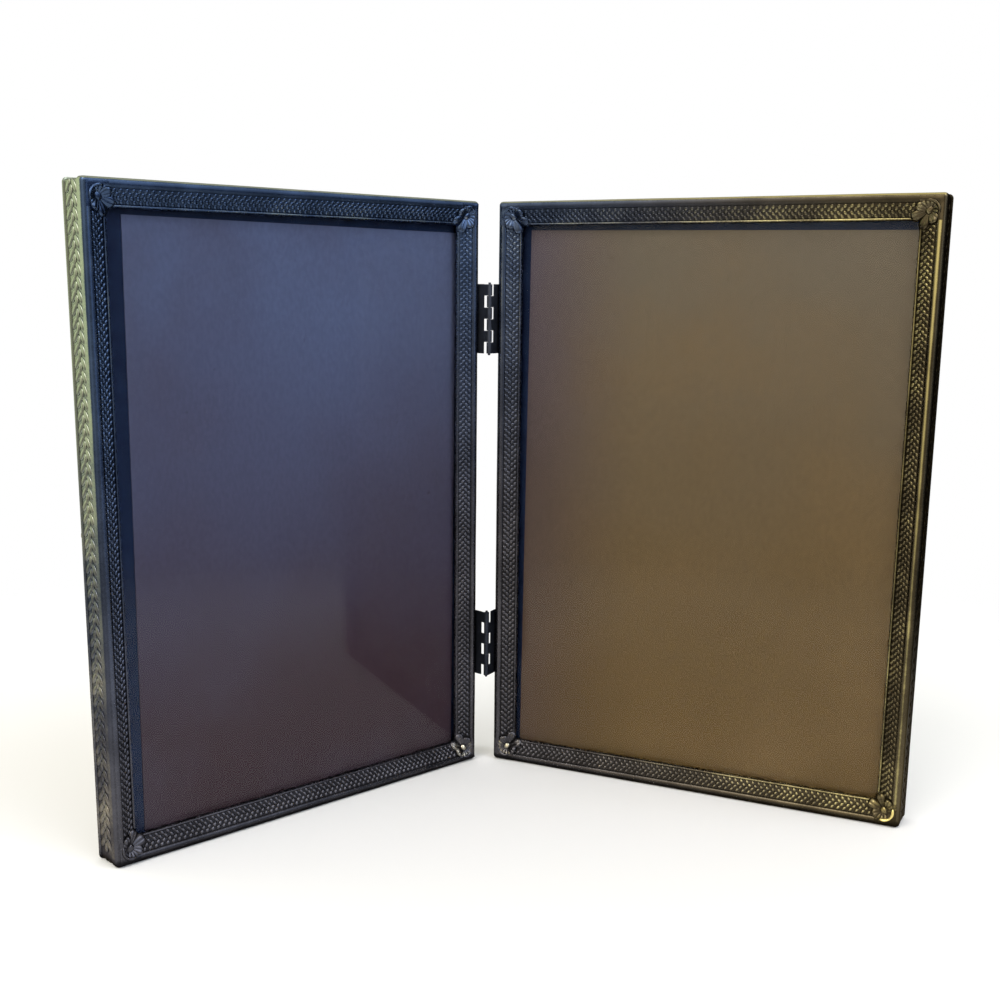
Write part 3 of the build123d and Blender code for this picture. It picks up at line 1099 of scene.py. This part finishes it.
for name, side in sides.items():
    panel = Panel(name, side)
    for run in panel.runs():
        make_moulding(run, moulding_finish)
    for corner_name, corner, legs in panel.corners():
        # Some corners take the brighter gilt that paints their highlights
        rub = highlit_corners.get(f"{name}_{corner_name}", even_rub)
        finish = leaf_finish if rub is even_rub else bright_leaf_finish
        make_palmette(panel, corner_name, corner, legs, finish, rub)
    make_back(panel, velvet_finish)
    for ornament, tree, paths, sizes, finish, slot in (
        ("plait", plait_tree, plait_paths, plait_sizes, moulding_finish, "moulding"),
        ("laurel", laurel_tree, laurel_paths, laurel_sizes, moulding_finish, "moulding"),
        ("leaf_rivets", rivet_tree, rivet_paths, rivet_sizes, hinge_finish, "rivet_metal"),
    ):
        string_along(f"{name}_{ornament}", tree, list(paths(panel)), sizes, finish, panel.body, slot)
    dress(f"{name}_glass", glass_finish)
    dress(f"{name}_paper_slip", slip_finishes[name])
    dress(f"{name}_filler_board", card_finish)
    dress(f"{name}_button_rivets", button_finish)
    for level in ("upper", "lower"):
        dress(f"{name}_{level}_leaf", hinge_finish)
    for edge in ("hinge", "outer"):
        dress(f"{name}_{edge}_turn_button", button_finish)
for level in ("upper", "lower"):
    dress(f"{level}_hinge_pin", hinge_finish)

# Floor, studio and camera

floor_radius = 0.4
floor_clear_radius = 0.17
floor_steps = 64
lamp_target = (0, 0, 0.1)

# Patches of the studio: direction, angles in degrees from it where they start and are full, and tone
studio_patches = {
    "cool_right_wall": ((0.88, -0.42, 0.12), 40, 10, (0.37, 0.46, 0.66)),
    "right_window": ((0.65, -0.55, 0.52), 42, 15, (1.6, 1.75, 2.0)),
    "left_card": ((-0.6, -0.65, 0.5), 42, 15, (1.7, 1.55, 1.3)),
    "rear_left_card": ((-0.88, 0.45, 0.28), 36, 10, (1.6, 1.7, 1.3)),
    "dark_right_card": ((0.88, 0.47, 0), 34, 27, (0.02, 0.018, 0.02)),
    "dim_right_table": ((0.91, -0.4, -0.12), 24, 12, (0.14, 0.16, 0.22)),
}


def make_floor():
    """Pale floor that fades into the backdrop away from the frame."""
    turns = [2 * pi * step / floor_steps for step in range(floor_steps)]
    rim = [(floor_radius * cos(turn), floor_radius * sin(turn), 0) for turn in turns]
    mesh = bpy.data.meshes.new("floor")
    mesh.from_pydata(rim, [], [tuple(range(floor_steps))])
    material, tree, shader, coords = new_finish("pale_floor")
    shader.inputs["Base Color"].default_value = (0.84, 0.84, 0.84, 1)
    shader.inputs["Roughness"].default_value = 0.9
    shader.inputs["Specular IOR Level"].default_value = 0.1
    length = add_node(tree, "ShaderNodeVectorMath", {0: coords}, operation="LENGTH")
    fade = spread(tree, length.outputs["Value"], floor_clear_radius, floor_radius)
    clear = add_node(tree, "ShaderNodeBsdfTransparent").outputs[0]
    faded = add_node(tree, "ShaderNodeMixShader", {0: fade, 1: shader.outputs[0], 2: clear}).outputs[0]
    tree.links.new(faded, tree.nodes["Material Output"].inputs["Surface"])
    mesh.materials.append(material)
    floor = bpy.data.objects.new("floor", mesh)
    bpy.context.scene.collection.objects.link(floor)


def make_world():
    """Studio round the frame: warm and dim in front, bright above and white behind, with patches of tone.

    The camera sees plain white all round. Metal and glass see the white behind the frame and the patches.
    """
    world = bpy.data.worlds.new("studio")
    bpy.context.scene.world = world
    world.use_nodes = True
    tree = world.node_tree
    direction = add_node(tree, "ShaderNodeTexCoord").outputs["Generated"]
    axes = split(tree, direction)
    above_floor = spread(tree, axes["Z"], -0.3, 0.1)
    overhead = spread(tree, axes["Z"], 0.4, 0.95)
    behind = spread(tree, axes["Y"], 0.15, 0.7)
    colour = blend_colours(tree, above_floor, (0.4, 0.37, 0.35), (0.5, 0.46, 0.4))
    colour = blend_colours(tree, overhead, colour, (0.9, 0.86, 0.76))
    colour = blend_colours(tree, behind, colour, (1, 1, 1))
    for middle, outer, inner, tone in studio_patches.values():
        inputs = {0: direction, 1: Vector(middle).normalized()}
        toward = add_node(tree, "ShaderNodeVectorMath", inputs, operation="DOT_PRODUCT").outputs["Value"]
        patch = spread(tree, toward, cos(radians(outer)), cos(radians(inner)))
        colour = blend_colours(tree, patch, colour, tone)
    seen = add_node(tree, "ShaderNodeLightPath").outputs["Is Camera Ray"]
    colour = blend_colours(tree, seen, colour, (1, 1, 1))
    tree.links.new(colour, tree.nodes["Background"].inputs["Color"])


def add_softbox(name, place, size, power):
    data = bpy.data.lights.new(name, "AREA")
    data.shape = "DISK"
    data.size = size
    data.energy = power
    lamp = bpy.data.objects.new(name, data)
    lamp.location = place
    aim = Vector(lamp_target) - Vector(place)
    lamp.rotation_euler = aim.to_track_quat("-Z", "Y").to_euler()
    bpy.context.scene.collection.objects.link(lamp)


def make_camera():
    """Camera at the photograph's place.

    The middle of the picture is off the optical axis, so the lens is shifted.
    """
    data = bpy.data.cameras.new("camera")
    data.sensor_width = 36
    data.lens = 49.16
    data.shift_x = 0.019
    data.shift_y = 0.087
    data.clip_start = 0.01
    camera = bpy.data.objects.new("camera", data)
    yaw = Matrix.Rotation(radians(-8.56), 4, "Z")
    pitch = Matrix.Rotation(radians(-12.41), 4, "X")
    roll = Matrix.Rotation(radians(-0.48), 4, "Y")
    level = Matrix.Rotation(pi / 2, 4, "X")
    place = Matrix.Translation((-69.9 * mm, -418.15 * mm, 163.0 * mm))
    camera.matrix_world = place @ yaw @ pitch @ roll @ level
    bpy.context.scene.collection.objects.link(camera)
    bpy.context.scene.camera = camera


make_floor()
make_world()
add_softbox("key_softbox", place=(-0.7, -0.8, 1.3), size=1.0, power=10)
add_softbox("fill_softbox", place=(0.8, -0.7, 1.2), size=0.9, power=5)
make_camera()
bpy.context.scene.view_settings.view_transform = "Standard"
